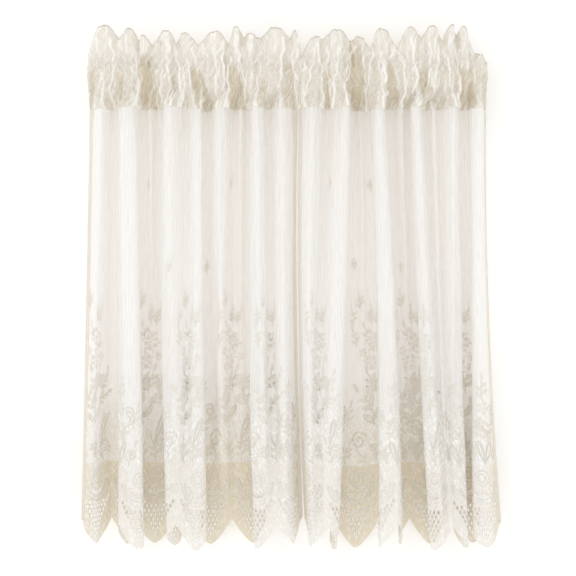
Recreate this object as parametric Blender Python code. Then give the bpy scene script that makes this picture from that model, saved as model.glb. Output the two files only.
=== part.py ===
"""A pair of gathered tier curtains in ivory lace. Each curtain is a folded lace panel with a scalloped,
eyeleted hem, under a heading with a standing ruffle and an open rod pocket."""

from collections import namedtuple

import bpy
import numpy as np
from mathutils import Vector
from mathutils.geometry import delaunay_2d_cdt

# Sizes are in millimetres. X runs to the right, Y away from the room and Z up from the line of the rod
MM = 0.001
CUT_WIDTH = 762.0
LACE_THICKNESS = 1.6
DOUBLED_THICKNESS = 2.6
TOUCHING_GAP = 0.3

# Heading, from its stitched seams down to where the lace hangs on
POCKET_SEAM_UP = 20.0
POCKET_SEAM_DOWN = -20.0
HEADING_LOW = -58.0
POCKET_WALL = 2.2
POCKET_HALF_DEPTH = 12.6
POCKET_TURN = 11.0
POCKET_APEX = 18.0
SEAM_REACH = 5.0
RUFFLE_REACH = 14.0
HEADING_COLUMNS = 78

# Lace panel, its scallops and their eyelets
LACE_TOP = HEADING_LOW - TOUCHING_GAP
SCALLOPS = 10
SCALLOP_WIDTH = CUT_WIDTH / SCALLOPS
SCALLOP_TIP = -830.0
SCALLOP_DEPTH = 42.0
TIP_ROUNDING = 0.22
NOTCH_STEEPENING = 0.15
COLUMNS_PER_SCALLOP = 7
COLUMN_STEP = SCALLOP_WIDTH / COLUMNS_PER_SCALLOP
PLAIN_ROWS = 7
BORDER_TOP = -735.0
EYELET_HALF_WIDTH = 3.0
EYELET_HALF_HEIGHT = 5.0
EYELET_ROWS = (1, 2, 3, 4, 3, 2)
EYELET_ROW_STEP = 9.0
LOWEST_EYELET = SCALLOP_TIP + 13.0

# Heights at which the tables below give the folds
LEVELS = (-65.0, -395.0, -765.0)
STEPS_PER_FOLD = 24
SCALING_TRIES = 30
DEPTH_SCALES = (0.3, 3.0)
TOP_LAP = 0.3
FACING_STEP = 2.0
SAME_POINT = 1e-4

# A turn of the cloth seen from above: its X at the three levels, how far it comes forward there before the
# depth is scaled to the cut width, how far the cloth on its left laps past itself, and the hem's lift there
Turn = namedtuple("Turn", "x_top x_mid x_hem out_top out_mid out_hem lap lift")
# A lobe or a notch of the ruffle: its X and the height of the top edge there
Lobe = namedtuple("Lobe", "x top")
Curtain = namedtuple("Curtain", "name turns lobes")

LEFT = Curtain(
    "left",
    (
        Turn(-352, -357, -364, 0, 4, 8, 0, 9),
        Turn(-329, -338, -352, 13, 14, 14, 0, 9),
        Turn(-315, -320, -316, -13, -16, -16, 0, 6),
        Turn(-283, -276, -272, 18, 18, 18, 17, 0),
        Turn(-256, -254, -248, -14, -15, -17, 10, 2),
        Turn(-245, -244, -234, -3, -12, -18, 0, 3),
        Turn(-234, -234, -218, -14, -16, -17, 0, 4),
        Turn(-209, -207, -192, 16, 15, 18, 17, 4),
        Turn(-183, -183, -179, -8, -2, 13, 0, 3),
        Turn(-165, -165, -167, 11, 12, 17, 0, 0),
        Turn(-146, -144, -137, -12, -14, -16, 12, 1),
        Turn(-120, -123, -116, 14, 4, -13, 0, 3),
        Turn(-97, -98, -96, -13, -15, -17, 0, 4),
        Turn(-87, -88, -83, -4, -12, -18, 0, 3),
        Turn(-77, -78, -68, -14, -16, -17, 0, 2),
        Turn(-56, -53, -40, 17, 16, 18, 17, 2),
        Turn(-39, -35, -25, -10, -6, 12, 0, 4),
        Turn(-16, -12, -7, 12, 14, 16, 0, 8),
        Turn(13, 12, 22, -10, -12, -14, 0, 8),
    ),
    (
        Lobe(-354, 39), Lobe(-325, 86), Lobe(-302, 67), Lobe(-281, 79), Lobe(-243, 56), Lobe(-216, 76),
        Lobe(-201, 55), Lobe(-185, 71), Lobe(-163, 55), Lobe(-128, 74), Lobe(-108, 54), Lobe(-95, 83),
        Lobe(-58, 68), Lobe(-26, 82), Lobe(0, 69), Lobe(9, 76), Lobe(20, 33),
    ),
)
RIGHT = Curtain(
    "right",
    (
        Turn(15.5, 14.5, 24.5, -6, -4, -8, 0, 5),
        Turn(39, 33, 38, 16, 16, 17, 0, 6),
        Turn(67, 54, 50, -10, -2, 13, 0, 4),
        Turn(97, 77, 62, 16, 15, 17, 0, -2),
        Turn(114, 120, 98, -16, -16, -17, 14, -6),
        Turn(124, 130, 118, -8, -13, -18, 0, -8),
        Turn(134, 139, 136, -14, -16, -17, 0, -3),
        Turn(153, 169, 176, 15, 18, 18, 9, 5),
        Turn(183, 196, 212, -13, -14, -17, 10, 4),
        Turn(195, 208, 226, 2, -10, -18, 0, 2),
        Turn(206, 219, 240, -13, -15, -17, 0, 0),
        Turn(222, 239, 264, 16, 16, 18, 17, 0),
        Turn(240, 254, 271, -11, -4, 13, 0, 0),
        Turn(252, 262, 275, -2, 2, 15, 0, 0),
        Turn(264, 270, 280, -11, -4, 14, 0, 0),
        Turn(285, 283, 287, 16, 14, 17, 0, 0),
        Turn(302, 306, 309, -14, -16, -16, 16, 3),
        Turn(334, 338, 346, 12, 14, 16, 16, 5),
        Turn(345, 348, 368, -2, 4, 6, 0, 5),
    ),
    (
        Lobe(20.4, 33), Lobe(49, 67), Lobe(58, 63), Lobe(81, 77), Lobe(130, 54), Lobe(157, 79), Lobe(190, 50),
        Lobe(213, 83), Lobe(233, 65), Lobe(250, 85), Lobe(270, 59), Lobe(283, 86), Lobe(294, 72),
        Lobe(304, 82), Lobe(345, 18),
    ),
)

# Colours: ivory net, and the deeper cream of the doubled cloth in the headings
LACE_COLOUR = (0.86, 0.82, 0.74, 1.0)
HEADING_COLOUR = (0.74, 0.67, 0.54, 1.0)
CLOTH_ROUGHNESS = 0.85


def at_height(z, top, middle, hem):
    """The quadratic curve through a value's three levels, at the height z."""
    z_top, z_mid, z_hem = LEVELS
    return (
        top * (z - z_mid) * (z - z_hem) / ((z_top - z_mid) * (z_top - z_hem))
        + middle * (z - z_top) * (z - z_hem) / ((z_mid - z_top) * (z_mid - z_hem))
        + hem * (z - z_top) * (z - z_mid) / ((z_hem - z_top) * (z_hem - z_mid))
    )


def line_through(places, reaches, laps):
    """A smooth line seen from above, through turns that lie at the places and come forward by the reaches."""
    xs, ys = [places[0]], [-reaches[0]]
    steps = np.arange(1, STEPS_PER_FOLD + 1) / STEPS_PER_FOLD
    for i in range(1, len(places)):
        eased = (1 - np.cos(np.pi * steps)) / 2
        x = places[i - 1] + (places[i] - places[i - 1]) * steps + laps[i] * np.sin(2 * np.pi * steps)
        y = -(reaches[i - 1] + (reaches[i] - reaches[i - 1]) * eased)
        xs.extend(x)
        ys.extend(y)
    return np.array(xs), np.array(ys)


def lengths_along(xs, ys):
    """The distance along a line from its start to each of its points."""
    return np.concatenate(([0.0], np.cumsum(np.hypot(np.diff(xs), np.diff(ys)))))


class FoldedPanel:
    """The sheet of one curtain: where a point of the flat lace hangs, and which way the cloth faces there."""

    def __init__(self, turns):
        self.turns = turns
        self.lines = {}

    def line(self, z):
        """The panel's line at one height, with the depth of its folds scaled to use up the cut width."""
        if z not in self.lines:
            places = [at_height(z, t.x_top, t.x_mid, t.x_hem) for t in self.turns]
            reaches = [at_height(z, t.out_top, t.out_mid, t.out_hem) for t in self.turns]
            growth = min(max((LEVELS[0] - z) / (LEVELS[0] - LEVELS[2]), 0.0), 1.0)
            laps = [t.lap * (TOP_LAP + (1 - TOP_LAP) * growth) for t in self.turns]
            xs, ys = line_through(places, reaches, laps)
            low, high = DEPTH_SCALES
            for _ in range(SCALING_TRIES):
                middle = (low + high) / 2
                if lengths_along(xs, ys * middle)[-1] > CUT_WIDTH:
                    high = middle
                else:
                    low = middle
            ys = ys * low
            turns_along = np.arange(len(xs)) / STEPS_PER_FOLD
            lifts = np.interp(turns_along, range(len(self.turns)), [t.lift for t in self.turns]) * growth**2
            self.lines[z] = (lengths_along(xs, ys) / lengths_along(xs, ys)[-1] * CUT_WIDTH, xs, ys, lifts)
        return self.lines[z]

    def place(self, across, z):
        """Where the point of the flat lace at the distance across hangs."""
        along, xs, ys, lifts = self.line(z)
        lift = np.interp(across, along, lifts)
        return np.array((np.interp(across, along, xs), np.interp(across, along, ys), z + lift))

    def facing(self, across, z):
        """The direction out of the cloth's room side. At the side edges it has no sideways part."""
        start, end = max(across - FACING_STEP, 0.0), min(across + FACING_STEP, CUT_WIDTH)
        run = self.place(end, z) - self.place(start, z)
        if start == 0.0 or end == CUT_WIDTH:
            return np.array((0.0, -1.0, 0.0))
        out = np.array((run[1], -run[0], 0.0))
        return out / np.linalg.norm(out)


def scallop_edge(across):
    """Height of the hem's scalloped edge at a distance across the flat lace."""
    from_tip = abs((across / SCALLOP_WIDTH) % 1.0 - 0.5) * 2
    eased = from_tip * (1 + NOTCH_STEEPENING * from_tip**2) / (1 + NOTCH_STEEPENING)
    rounded = np.sqrt(eased**2 + TIP_ROUNDING**2) - TIP_ROUNDING
    return SCALLOP_TIP + SCALLOP_DEPTH * rounded / (np.sqrt(1 + TIP_ROUNDING**2) - TIP_ROUNDING)


def eyelet_centres():
    """Centres of the eyelets on the flat lace: a rhombus of offset rows in each scallop."""
    centres = []
    for scallop in range(SCALLOPS):
        middle = (scallop + 0.5) * SCALLOP_WIDTH
        for row, count in enumerate(EYELET_ROWS):
            for k in range(count):
                centres.append((middle + (k - (count - 1) / 2) * COLUMN_STEP, LOWEST_EYELET + row * EYELET_ROW_STEP))
    return centres


def flat_lace():
    """The flat lace as points (across, height) and triangles, with the scallops cut and the eyelets open."""
    columns = SCALLOPS * COLUMNS_PER_SCALLOP
    heights = list(np.linspace(LACE_TOP, BORDER_TOP, PLAIN_ROWS + 1))
    points, edges = [], []
    for column in range(columns + 1):
        across = column * COLUMN_STEP
        first = len(points)
        points.extend((across, z) for z in heights + [scallop_edge(across)])
        edges.extend((first + k, first + k + 1) for k in range(len(heights)))
    rows = len(heights) + 1
    edges.extend((c * rows, (c + 1) * rows) for c in range(columns))
    for column in range(columns):
        left, right = (column + 1) * rows - 1, (column + 2) * rows - 1
        if column % COLUMNS_PER_SCALLOP == COLUMNS_PER_SCALLOP // 2:
            points.append(((column + 0.5) * COLUMN_STEP, SCALLOP_TIP))
            edges.extend(((left, len(points) - 1), (len(points) - 1, right)))
        else:
            edges.append((left, right))
    centres = eyelet_centres()
    for across, z in centres:
        first = len(points)
        points.extend(
            (
                (across, z - EYELET_HALF_HEIGHT),
                (across + EYELET_HALF_WIDTH, z),
                (across, z + EYELET_HALF_HEIGHT),
                (across - EYELET_HALF_WIDTH, z),
            )
        )
        edges.extend((first + k, first + (k + 1) % 4) for k in range(4))
    found, _, triangles, _, _, _ = delaunay_2d_cdt([Vector(p) for p in points], edges, [], 0, SAME_POINT)
    flat = np.array([tuple(p) for p in found])
    holes = np.array(centres)
    kept = []
    for triangle in triangles:
        across, z = flat[list(triangle)].mean(axis=0)
        inside = np.abs(holes[:, 0] - across) / EYELET_HALF_WIDTH + np.abs(holes[:, 1] - z) / EYELET_HALF_HEIGHT
        if inside.min() > 1.0 and z > edge_chord(across):
            kept.append(tuple(triangle))
    return flat, kept


def edge_chord(across):
    """Height of the hem's edge where it runs straight between the columns and the scallops' tips."""
    columns = np.arange(SCALLOPS * COLUMNS_PER_SCALLOP + 1) * COLUMN_STEP
    tips = (np.arange(SCALLOPS) + 0.5) * SCALLOP_WIDTH
    corners = np.sort(np.concatenate((columns, tips)))
    return np.interp(across, corners, [scallop_edge(c) for c in corners])


def boundary_edges(triangles):
    """The directed edges that only one triangle has."""
    directed = {(t[k], t[(k + 1) % 3]) for t in triangles for k in range(3)}
    return [e for e in directed if (e[1], e[0]) not in directed]


def make_object(name, points, faces, colour):
    """A mesh object in metres with its own cloth material."""
    mesh = bpy.data.meshes.new(name)
    mesh.from_pydata([tuple(np.asarray(p) * MM) for p in points], [], faces)
    mesh.validate()
    material = bpy.data.materials.new(name)
    material.use_nodes = True
    shader = material.node_tree.nodes["Principled BSDF"]
    shader.inputs["Base Color"].default_value = colour
    shader.inputs["Roughness"].default_value = CLOTH_ROUGHNESS
    shader.inputs["Metallic"].default_value = 0.0
    mesh.materials.append(material)
    mesh.shade_smooth()
    thing = bpy.data.objects.new(name, mesh)
    bpy.context.scene.collection.objects.link(thing)
    return thing


def make_lace(curtain):
    """The lace panel: the flat lace folded, and given its thickness along the way it faces."""
    panel = FoldedPanel(curtain.turns)
    flat, triangles = flat_lace()
    used = sorted({k for t in triangles for k in t})
    number = {k: n for n, k in enumerate(used)}
    front, back = [], []
    for across, z in flat[used]:
        across, z = round(float(across), 4), round(float(z), 4)
        middle = panel.place(across, z)
        half = panel.facing(across, z) * LACE_THICKNESS / 2
        front.append(middle + half)
        back.append(middle - half)
    count = len(used)
    faces = [tuple(number[k] for k in t) for t in triangles]
    rim = boundary_edges(faces)
    behind = [tuple(k + count for k in reversed(t)) for t in faces]
    walls = []
    for a, b in rim:
        walls.extend(((b, a, a + count), (b, a + count, b + count)))
    return make_object(curtain.name + "_lace", front + back, faces + behind + walls, LACE_COLOUR)


def ruffle_line(lobes):
    """The line of the ruffle's top from above, by the distance along it: lobes come forward, notches go back."""
    places = [lobe.x for lobe in lobes]
    signs = [0.0] + [1.0 if i % 2 else -1.0 for i in range(1, len(lobes) - 1)] + [0.0]
    xs, ys = line_through(places, [sign * RUFFLE_REACH for sign in signs], [0.0] * len(lobes))
    return lengths_along(xs, ys), xs, ys


def ruffle_top(lobes, x):
    """Height of the ruffle's top edge at x: round on the lobes and sharp in the notches."""
    for i in range(1, len(lobes)):
        a, b = lobes[i - 1], lobes[i]
        if x <= b.x or i == len(lobes) - 1:
            high, low = (b, a) if i % 2 else (a, b)
            share = min(max((x - high.x) / (low.x - high.x), 0.0), 1.0)
            return low.top + (high.top - low.top) * np.cos(share * np.pi / 2)
    return lobes[-1].top


def heading_section(curtain, panel, line, fraction):
    """The named points of one cut across the heading, at a fraction of the way along the cloth."""
    along, xs, ys = line
    at = fraction * along[-1]
    x, y = np.interp(at, along, xs), np.interp(at, along, ys)
    swing = -y / RUFFLE_REACH
    step = along[-1] / HEADING_COLUMNS / 2
    run_x = np.interp(at + step, along, xs) - np.interp(at - step, along, xs)
    run_y = np.interp(at + step, along, ys) - np.interp(at - step, along, ys)
    out = np.array((run_y, -run_x, 0.0)) / np.hypot(run_x, run_y)
    forward = np.array((0.0, -1.0, 0.0))
    if fraction in (0.0, 1.0):
        out = forward
    half = DOUBLED_THICKNESS / 2
    hem = panel.place(fraction * CUT_WIDTH, HEADING_LOW)
    hem_out = panel.facing(fraction * CUT_WIDTH, HEADING_LOW)
    middles = {
        "top": (np.array((x, y, ruffle_top(curtain.lobes, x))), out),
        "seam": (np.array((x, -swing * SEAM_REACH, POCKET_SEAM_UP)), forward),
        "low": (np.array((x, -swing * SEAM_REACH, POCKET_SEAM_DOWN)), forward),
        "hem": (hem, hem_out),
    }
    section = {}
    for name, (middle, facing) in middles.items():
        section["front_" + name] = middle + facing * half
        section["back_" + name] = middle - facing * half
    section["apex"] = np.array((x, -swing * SEAM_REACH, POCKET_APEX))
    section["base"] = np.array((x, -swing * SEAM_REACH, -POCKET_APEX))
    for name, sign, bulge in (("front", -1, 1 + swing), ("back", 1, 1 - swing)):
        depth = POCKET_HALF_DEPTH + SEAM_REACH * bulge
        for end, z in (("up", POCKET_TURN), ("down", -POCKET_TURN)):
            section[f"{name}_{end}"] = np.array((x, sign * depth, z))
            section[f"inner_{name}_{end}"] = np.array((x, sign * (depth - POCKET_WALL), z))
    return section


# Lines of the heading's section that run down a face of the cloth, and whether the face looks to the back
HEADING_STRIPS = (
    ("front_top front_seam front_up front_down front_low front_hem", False),
    ("back_top back_seam back_up back_down back_low back_hem", True),
    ("apex inner_front_up inner_front_down base", True),
    ("apex inner_back_up inner_back_down base", False),
    ("back_top front_top", False),
    ("front_hem back_hem", False),
)
# Faces that close the cut cloth at each end of the heading and leave the pocket open
HEADING_END = (
    "front_top back_top back_seam front_seam",
    "front_seam back_seam apex",
    "front_seam apex inner_front_up front_up",
    "front_up inner_front_up inner_front_down front_down",
    "front_down inner_front_down base front_low",
    "back_seam back_up inner_back_up apex",
    "back_up back_down inner_back_down inner_back_up",
    "back_down back_low base inner_back_down",
    "front_low base back_low",
    "front_low back_low back_hem front_hem",
)


def make_heading(curtain):
    """The heading: a doubled ruffle, a pocket that is open from end to end, and a doubled flap below it."""
    panel = FoldedPanel(curtain.turns)
    line = ruffle_line(curtain.lobes)
    fractions = np.linspace(0.0, 1.0, HEADING_COLUMNS + 1)
    sections = [heading_section(curtain, panel, line, fraction) for fraction in fractions]
    points, first = [], {}
    for name in sections[0]:
        first[name] = len(points)
        points.extend(section[name] for section in sections)
    faces = []
    for names, looks_back in HEADING_STRIPS:
        names = names.split()
        for upper, lower in zip(names, names[1:]):
            for i in range(HEADING_COLUMNS):
                a, b = first[upper] + i, first[lower] + i
                pair = [(a, b, b + 1), (a, b + 1, a + 1)]
                faces.extend([tuple(reversed(t)) for t in pair] if looks_back else pair)
    for names in HEADING_END:
        cap = [first[name] for name in names.split()]
        faces.append(tuple(cap))
        faces.append(tuple(k + HEADING_COLUMNS for k in reversed(cap)))
    return make_object(curtain.name + "_heading", points, faces, HEADING_COLOUR)


def main():
    for old in list(bpy.data.objects):
        bpy.data.objects.remove(old)
    for curtain in (LEFT, RIGHT):
        make_lace(curtain)
        make_heading(curtain)


main()
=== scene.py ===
"""A pair of gathered lace tier curtains: sheer folded net with raised flower sprays, a scalloped border with
eyelets, and headings of doubled cloth with a standing ruffle and an open rod pocket."""
from collections import namedtuple

import bpy
import numpy as np
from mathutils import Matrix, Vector
from mathutils.geometry import delaunay_2d_cdt


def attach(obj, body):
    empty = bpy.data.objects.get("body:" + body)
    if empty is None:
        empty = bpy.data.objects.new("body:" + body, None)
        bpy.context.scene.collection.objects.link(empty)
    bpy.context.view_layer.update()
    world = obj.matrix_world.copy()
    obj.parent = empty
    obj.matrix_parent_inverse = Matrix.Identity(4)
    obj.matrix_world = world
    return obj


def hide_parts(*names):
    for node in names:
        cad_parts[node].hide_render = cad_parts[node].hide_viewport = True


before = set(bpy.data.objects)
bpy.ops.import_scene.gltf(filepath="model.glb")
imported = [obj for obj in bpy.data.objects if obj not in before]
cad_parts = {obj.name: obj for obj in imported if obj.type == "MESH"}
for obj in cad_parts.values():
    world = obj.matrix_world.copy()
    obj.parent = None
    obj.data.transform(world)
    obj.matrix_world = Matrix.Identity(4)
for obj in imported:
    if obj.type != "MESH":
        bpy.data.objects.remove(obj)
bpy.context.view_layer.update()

bl_info = {
    "name": "Lace Tier Curtains",
    "version": (1, 0, 0),
    "blender": (4, 5, 0),
    "location": "View3D > Sidebar > Curtain",
    "description": "Builds the net, the flowers, the headings and the stitches of two lace curtains",
    "category": "Object",
}

# Sizes are in millimetres: X runs to the right, Y away from the room, Z up from the line of the rod. On the
# flat lace a point is given by its distance across from the left edge and its height
MM = 0.001
CUT_WIDTH = 762.0
POCKET_SEAM = 20.0
HEADING_LOW = -58.0
NET_TOP = -56.5
POCKET_FRONT = 13.1
POCKET_BACK = 16.0
POCKET_ROUNDING = 2.3
SEAM_REACH = 3.0
SEAM_Y = -5.0
RUFFLE_REACH = 14.0

# Lengths of the heading's cloth on one side of the ruffle's top: ruffle, pocket's wall, turning below it
RUFFLE_CUT = 47.0
POCKET_CUT = 50.0
TURNING_CUT = 38.0

# Seeds of the lace's small ripples, and of the heading's pleats and creases
LACE_SEED = {"left": 11, "right": 23}
HEADING_SEED = {"left": 31, "right": 47}

# Y where the lace's painted shade starts and where it is full: none where the cloth comes forward, full where
# it goes back into the folds. A strip at the outer edge is deeper in colour: how far in from the edge it
# starts and is full, and how deep it is
SHADE_START_Y = -14.0
FULL_SHADE_Y = 15.0
STRIP_START = 34.0
STRIP_FULL = 14.0
STRIP_DEPTH = 0.9

# Border and scallops of the lace
SCALLOPS = 10
SCALLOP_WIDTH = CUT_WIDTH / SCALLOPS
SCALLOP_TIP = -830.0
SCALLOP_DEPTH = 42.0
TIP_ROUNDING = 0.22
NOTCH_STEEPENING = 0.15
BORDER_TOP = -735.0
EYELET_HALF_WIDTH = 1.9
EYELET_HALF_HEIGHT = 3.5
EYELET_STEP = SCALLOP_WIDTH / 10
EYELET_ROWS = 9
EYELET_TO_NOTCH = 6.0
EYELET_ROW_STEP = 8.0
LOWEST_EYELET = SCALLOP_TIP + 18.0
BAND_TOP = -686.0
HEM_WIDTH = 8.5
DENSE_TOP = -545.0
DENSE_LOW = -640.0
MEDALLION_Z = -717.0
MEDALLION_HALF = 24.0
ARC_HALF = 33.0
ARC_DROP = 38.0

# Heights at which the tables below give the folds
LEVELS = (-65.0, -395.0, -765.0)
STEPS_PER_FOLD = 24
SCALING_TRIES = 30
DEPTH_SCALES = (0.3, 3.0)
TOP_LAP = 0.3

# Mesh of the net
COLUMNS_PER_SCALLOP = 38
BODY_ROWS = 104
BORDER_STEP = 2.4
EYELET_SIDES = 10
EYELET_MARGIN = 0.8

# A turn of the cloth seen from above: its X at the three levels, how far it comes forward there before the
# depth is scaled to the cut width, how far the cloth on its left laps past itself, and the hem's lift there
Turn = namedtuple("Turn", "x_top x_mid x_hem out_top out_mid out_hem lap lift")
# A lobe or a notch of the ruffle: its X and the height of the top edge there
Lobe = namedtuple("Lobe", "x top")
Curtain = namedtuple("Curtain", "name turns lobes")

LEFT = Curtain(
    "left",
    (
        Turn(-352, -357, -364, 0, 4, 8, 0, 9),
        Turn(-329, -338, -352, 13, 14, 14, 0, 9),
        Turn(-315, -320, -316, -13, -16, -16, 0, 6),
        Turn(-283, -276, -272, 18, 18, 18, 17, 0),
        Turn(-256, -254, -248, -14, -15, -17, 10, 2),
        Turn(-245, -244, -234, -3, -12, -18, 0, 3),
        Turn(-234, -234, -218, -14, -16, -17, 0, 4),
        Turn(-209, -207, -192, 16, 15, 18, 17, 4),
        Turn(-183, -183, -179, -8, -2, 13, 0, 3),
        Turn(-165, -165, -167, 11, 12, 17, 0, 0),
        Turn(-146, -144, -137, -12, -14, -16, 12, 1),
        Turn(-120, -123, -116, 14, 4, -13, 0, 3),
        Turn(-97, -98, -96, -13, -15, -17, 0, 4),
        Turn(-87, -88, -83, -4, -12, -18, 0, 3),
        Turn(-77, -78, -68, -14, -16, -17, 0, 2),
        Turn(-56, -53, -40, 17, 16, 18, 17, 2),
        Turn(-39, -35, -25, -10, -6, 12, 0, 4),
        Turn(-16, -12, -7, 12, 14, 16, 0, 8),
        Turn(13, 12, 22, -10, -12, -14, 0, 8),
    ),
    (
        Lobe(-354, 39), Lobe(-325, 86), Lobe(-302, 65), Lobe(-281, 80), Lobe(-267, 63), Lobe(-258, 68),
        Lobe(-243, 53), Lobe(-215, 77), Lobe(-201, 55), Lobe(-185, 72), Lobe(-163, 54), Lobe(-128, 75),
        Lobe(-108, 54), Lobe(-95, 83), Lobe(-83, 70), Lobe(-70, 71), Lobe(-52, 66), Lobe(-26, 82),
        Lobe(0, 66), Lobe(9, 76), Lobe(20, 33),
    ),
)
RIGHT = Curtain(
    "right",
    (
        Turn(15.5, 14.5, 24.5, -6, -4, -8, 0, 5),
        Turn(39, 33, 38, 16, 16, 17, 0, 6),
        Turn(67, 54, 50, -10, -2, 13, 0, 4),
        Turn(97, 77, 62, 16, 15, 17, 0, -2),
        Turn(114, 120, 98, -16, -16, -17, 14, -6),
        Turn(124, 130, 118, -8, -13, -18, 0, -8),
        Turn(134, 139, 136, -14, -16, -17, 0, -3),
        Turn(153, 169, 176, 15, 18, 18, 9, 5),
        Turn(183, 196, 212, -13, -14, -17, 10, 4),
        Turn(195, 208, 226, 2, -10, -18, 0, 2),
        Turn(206, 219, 240, -13, -15, -17, 0, 0),
        Turn(222, 239, 264, 16, 16, 18, 17, 0),
        Turn(240, 254, 271, -11, -4, 13, 0, 0),
        Turn(252, 262, 275, -2, 2, 15, 0, 0),
        Turn(264, 270, 280, -11, -4, 14, 0, 0),
        Turn(285, 283, 287, 16, 14, 17, 0, 0),
        Turn(302, 306, 309, -14, -16, -16, 16, 3),
        Turn(334, 338, 346, 12, 14, 16, 16, 5),
        Turn(345, 348, 368, -2, 4, 6, 0, 5),
    ),
    (
        Lobe(20.4, 33), Lobe(49, 67), Lobe(56, 63), Lobe(83, 78), Lobe(107, 62), Lobe(120, 65), Lobe(143, 45),
        Lobe(157, 80), Lobe(190, 48), Lobe(211, 82), Lobe(232, 66), Lobe(250, 85), Lobe(269, 61),
        Lobe(283, 86), Lobe(294, 71), Lobe(302, 83), Lobe(323, 45), Lobe(334, 35), Lobe(345, 14),
    ),
)
CURTAINS = (LEFT, RIGHT)

# Flower sprays of the lace, across from their own middle
Twig = namedtuple("Twig", "across height tip_across tip_height bend pairs leaf")
Flower = namedtuple("Flower", "across height radius petals turn")
Scroll = namedtuple("Scroll", "across height radius start turns")
Loop = namedtuple("Loop", "across height tip_across tip_height width")
Motif = namedtuple("Motif", "twigs flowers scrolls loops")

SPRAY = Motif(
    (
        Twig(2, -440, 1, -408, 1, 3, 9),
        Twig(13, -443, 20, -410, 3, 3, 8.5),
        Twig(-20, -412, -22, -386, -2, 2, 11),
        Twig(-34, -440, -36, -410, -2, 2, 9),
        Twig(-30, -478, -36, -446, -3, 2, 10),
        Twig(-9, -462, -14, -442, -2, 1, 12),
        Twig(-2, -562, -12, -524, -4, 2, 16),
        Twig(4, -564, 12, -522, 3, 2, 16),
        Twig(-6, -596, -30, -556, -5, 2, 17),
        Twig(22, -566, 38, -524, 3, 3, 13),
        Twig(6, -588, 40, -562, 4, 3, 13),
        Twig(-2, -618, -5, -580, 1, 1, 24),
        Twig(20, -664, 40, -604, -3, 1, 11),
        Twig(4, -684, -2, -640, 3, 2, 12),
        Twig(24, -684, 14, -644, -3, 2, 12),
        Twig(-20, -684, -32, -664, -2, 1, 11),
    ),
    (
        Flower(4, -470, 13, 6, 0.2),
        Flower(-4, -505, 11, 5, 0.5),
        Flower(-18, -487, 7, 5, 0.3),
        Flower(19, -497, 7, 5, 0.9),
        Flower(-6, -658, 9, 5, 0.4),
        Flower(36, -660, 9, 5, 0.2),
        Flower(16, -536, 7, 5, 0.5),
    ),
    (Scroll(-32, -642, 14, 0.3, 1.4),),
    (Loop(20, -652, 34, -602, 12),),
)
GARLAND = Motif(
    (
        Twig(0, -574, 0, -536, 2, 2, 14),
        Twig(-4, -640, -20, -606, -4, 2, 13),
        Twig(6, -640, 20, -604, 4, 2, 13),
        Twig(-18, -684, -28, -648, -3, 2, 12),
        Twig(20, -684, 30, -648, 3, 2, 12),
        Twig(26, -618, 34, -580, 3, 2, 12),
        Twig(-26, -622, -34, -584, -3, 2, 12),
    ),
    (
        Flower(0, -586, 10, 5, 0.4),
        Flower(-6, -612, 9, 5, 0.1),
        Flower(6, -634, 9, 5, 0.7),
        Flower(-24, -664, 7.5, 5, 0.5),
        Flower(25, -664, 7.5, 5, 0.9),
    ),
    (Scroll(18, -592, 9, 2.4, -1.2),),
    (Loop(0, -684, -11, -644, 13), Loop(0, -684, 11, -644, 13)),
)
# Where the sprays, the garlands between them and the scattered buds lie across each flat lace
SPRAYS = {"left": (32, 240, 386, 526, 664), "right": (70, 228, 396, 474, 652)}
GARLANDS = {"left": (150, 312, 458, 592, 722), "right": (150, 306, 398, 560, 732)}
BUDS = {
    "left": ((222, -192), (521, -188), (322, -338), (448, -337)),
    "right": ((108, -189), (244, -192), (200, -331), (378, -338)),
}


def at_height(z, top, middle, hem):
    """The quadratic curve through a value's three levels, at the height z."""
    z_top, z_mid, z_hem = LEVELS
    return (
        top * (z - z_mid) * (z - z_hem) / ((z_top - z_mid) * (z_top - z_hem))
        + middle * (z - z_top) * (z - z_hem) / ((z_mid - z_top) * (z_mid - z_hem))
        + hem * (z - z_top) * (z - z_mid) / ((z_hem - z_top) * (z_hem - z_mid))
    )


def line_through(places, reaches, laps):
    """A smooth line seen from above, through turns that lie at the places and come forward by the reaches."""
    xs, ys = [places[0]], [-reaches[0]]
    steps = np.arange(1, STEPS_PER_FOLD + 1) / STEPS_PER_FOLD
    for i in range(1, len(places)):
        eased = (1 - np.cos(np.pi * steps)) / 2
        x = places[i - 1] + (places[i] - places[i - 1]) * steps + laps[i] * np.sin(2 * np.pi * steps)
        y = -(reaches[i - 1] + (reaches[i] - reaches[i - 1]) * eased)
        xs.extend(x)
        ys.extend(y)
    return np.array(xs), np.array(ys)


def lengths_along(xs, ys):
    """The distance along a line from its start to each of its points."""
    return np.concatenate(([0.0], np.cumsum(np.hypot(np.diff(xs), np.diff(ys)))))


def soft_step(low, high, value):
    """0 below low, 1 above high and a smooth rise between them."""
    share = np.clip((value - low) / (high - low), 0.0, 1.0)
    return share * share * (3 - 2 * share)


def waves(values, seed, longest, count):
    """A smooth irregular wave between about -1 and 1, the sum of a few sines that get shorter."""
    dice = np.random.RandomState(seed)
    total = np.zeros_like(values)
    weight = 0.0
    for k in range(count):
        length = longest / (1 + k * 0.83)
        total += np.sin(2 * np.pi * (values / length + dice.rand())) / (1 + 0.4 * k)
        weight += 1 / (1 + 0.4 * k)
    return total / weight * 1.6


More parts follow.
